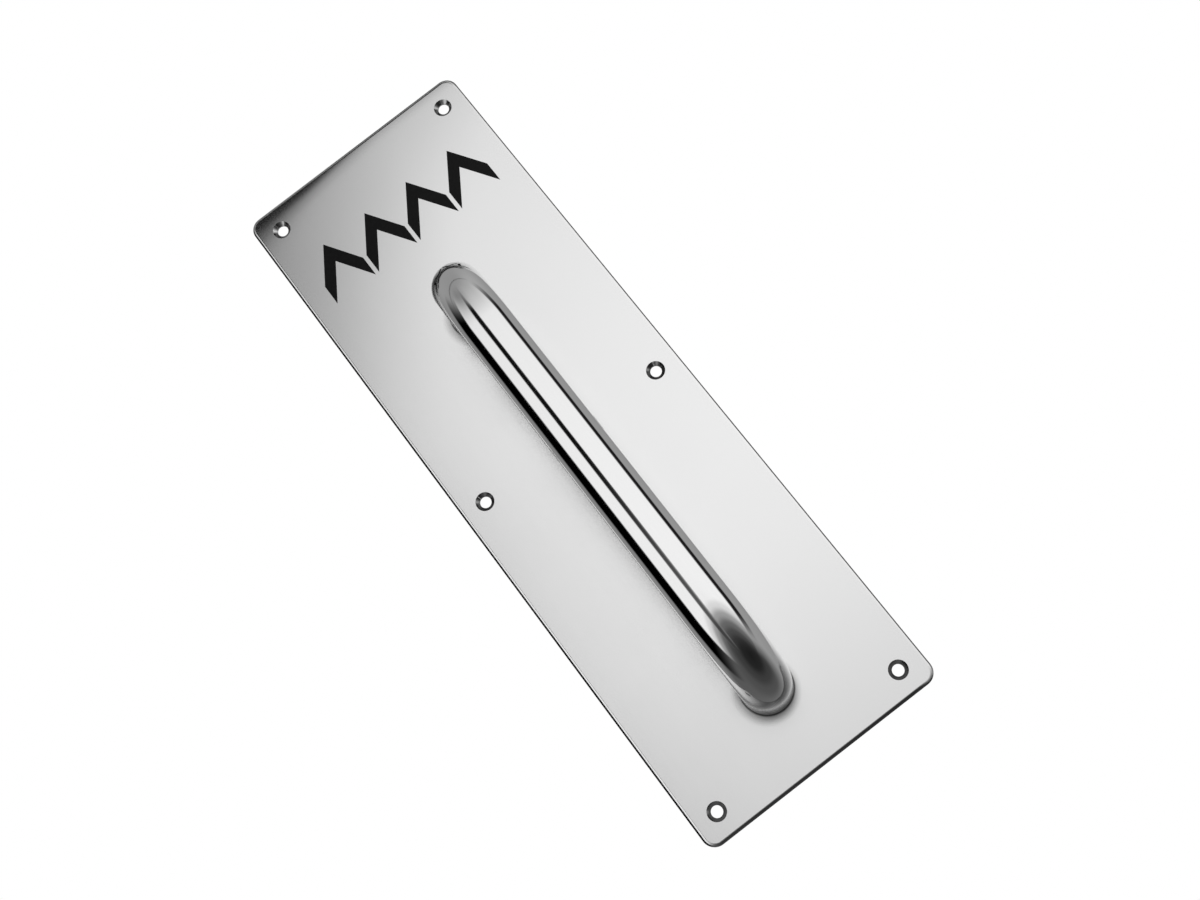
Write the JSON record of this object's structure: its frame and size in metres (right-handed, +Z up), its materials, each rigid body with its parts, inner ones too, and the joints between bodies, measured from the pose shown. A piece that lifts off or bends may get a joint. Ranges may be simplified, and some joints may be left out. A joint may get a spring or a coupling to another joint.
{
  "type": "door push plate with pull handle",
  "caption": "Upright satin steel door plate with rounded corners, countersunk fixing holes, a tubular D handle fixed from behind and four black filled arrowhead marks.",
  "frame": {"origin": "centre of the plate's back face, where it meets the door", "axes": "+Z up the plate along its longest side, +Y out of the back face into the door, +X to the right seen from the front"},
  "size_m": [0.1, 0.0625, 0.3],
  "materials": {
    "satin_plate": "fine satin grain",
    "polished_tube": "satin polished along the tube",
    "zinc_fixings": "bright zinc plated",
    "black_enamel": "satin black filling"
  },
  "bodies": {
    "root": {"back_plate": "satin_plate", "grip_tube": "polished_tube", "upper_insert": "zinc_fixings", "lower_insert": "zinc_fixings", "upper_handle_screw": "zinc_fixings", "lower_handle_screw": "zinc_fixings", "mark_1": "black_enamel", "mark_2": "black_enamel", "mark_3": "black_enamel", "mark_4": "black_enamel"}
  },
  "joints": []
}
